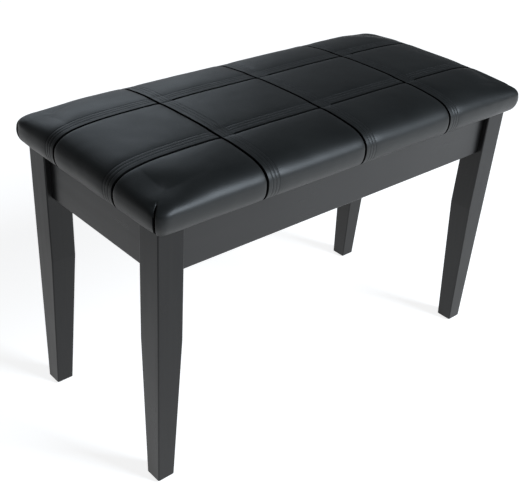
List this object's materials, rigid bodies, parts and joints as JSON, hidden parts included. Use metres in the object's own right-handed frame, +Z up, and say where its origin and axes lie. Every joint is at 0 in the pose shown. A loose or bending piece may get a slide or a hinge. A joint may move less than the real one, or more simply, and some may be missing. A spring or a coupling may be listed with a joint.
{
  "type": "piano bench",
  "caption": "Long padded piano bench on tapered legs, with a hinged leather lid over a shallow music compartment.",
  "frame": {"origin": "on the floor, under the centre of the bench", "axes": "+Z up; +X along the front, to the sitter's right as seen from the front; +Y to the hinged back"},
  "size_m": [0.76, 0.36, 0.497],
  "materials": {
    "black_wood": "satin black lacquer",
    "raw_wood": "unfinished plywood and blocks",
    "hardboard": "smooth hardboard",
    "leather": "black grained upholstery leather",
    "foam": "open foam",
    "lining": "black lining cloth",
    "steel": "zinc plated",
    "nylon": "moulded glide",
    "rubber": "soft bumper"
  },
  "bodies": {
    "box": {"back_apron": "black_wood", "back_left_corner_block": "raw_wood", "back_left_flange_nut": "steel", "back_left_glide": "nylon", "back_left_hanger_bolt": "steel", "back_left_leg": "black_wood", "back_right_corner_block": "raw_wood", "back_right_flange_nut": "steel", "back_right_glide": "nylon", "back_right_hanger_bolt": "steel", "back_right_leg": "black_wood", "bottom_panel": "hardboard", "front_apron": "black_wood", "front_left_bumper": "rubber", "front_left_corner_block": "raw_wood", "front_left_flange_nut": "steel", "front_left_glide": "nylon", "front_left_hanger_bolt": "steel", "front_left_leg": "black_wood", "front_right_bumper": "rubber", "front_right_corner_block": "raw_wood", "front_right_flange_nut": "steel", "front_right_glide": "nylon", "front_right_hanger_bolt": "steel", "front_right_leg": "black_wood", "left_apron": "black_wood", "left_hinge_lower_leaf": "steel", "left_hinge_lower_screw_1": "steel", "left_hinge_lower_screw_2": "steel", "left_hinge_pin": "steel", "left_stay_apron_bracket": "steel", "left_stay_apron_screw": "steel", "right_apron": "black_wood", "right_hinge_lower_leaf": "steel", "right_hinge_lower_screw_1": "steel", "right_hinge_lower_screw_2": "steel", "right_hinge_pin": "steel", "right_stay_apron_bracket": "steel", "right_stay_apron_screw": "steel"},
    "lid": {"foam_pad": "foam", "left_hinge_upper_leaf": "steel", "left_hinge_upper_screw_1": "steel", "left_hinge_upper_screw_2": "steel", "left_stay_lid_bracket": "steel", "left_stay_lid_screw": "steel", "lid_board": "raw_wood", "lid_lining": "lining", "right_hinge_upper_leaf": "steel", "right_hinge_upper_screw_1": "steel", "right_hinge_upper_screw_2": "steel", "right_stay_lid_bracket": "steel", "right_stay_lid_screw": "steel", "seat_cover": "leather"},
    "left_lower_arm": {"left_stay_lower_arm": "steel"},
    "left_upper_arm": {"left_stay_upper_arm": "steel"},
    "right_lower_arm": {"right_stay_lower_arm": "steel"},
    "right_upper_arm": {"right_stay_upper_arm": "steel"}
  },
  "joints": [
    {"name": "lid_hinge", "type": "hinge", "parent": "box", "child": "lid", "pos_m": [0, 0.1635, 0.4336], "axis": [-1, 0, 0], "range_deg": [0, 75]},
    {"name": "left_stay_pivot", "type": "hinge", "parent": "box", "child": "left_lower_arm", "pos_m": [-0.334, 0.0635, 0.3996], "axis": [-1, 0, 0], "range_deg": [0, 75]},
    {"name": "left_stay_elbow", "type": "hinge", "parent": "left_lower_arm", "child": "left_upper_arm", "pos_m": [-0.334, -0.0545, 0.3876], "axis": [-1, 0, 0], "range_deg": [-75, 0]},
    {"name": "right_stay_pivot", "type": "hinge", "parent": "box", "child": "right_lower_arm", "pos_m": [0.334, 0.0635, 0.3996], "axis": [-1, 0, 0], "range_deg": [0, 75]},
    {"name": "right_stay_elbow", "type": "hinge", "parent": "right_lower_arm", "child": "right_upper_arm", "pos_m": [0.334, -0.0545, 0.3876], "axis": [-1, 0, 0], "range_deg": [-75, 0]}
  ],
  "couplings": [
    {"joint": "left_stay_pivot", "follows": "lid_hinge", "ratio": 1},
    {"joint": "left_stay_elbow", "follows": "lid_hinge", "ratio": -1},
    {"joint": "right_stay_pivot", "follows": "lid_hinge", "ratio": 1},
    {"joint": "right_stay_elbow", "follows": "lid_hinge", "ratio": -1}
  ]
}
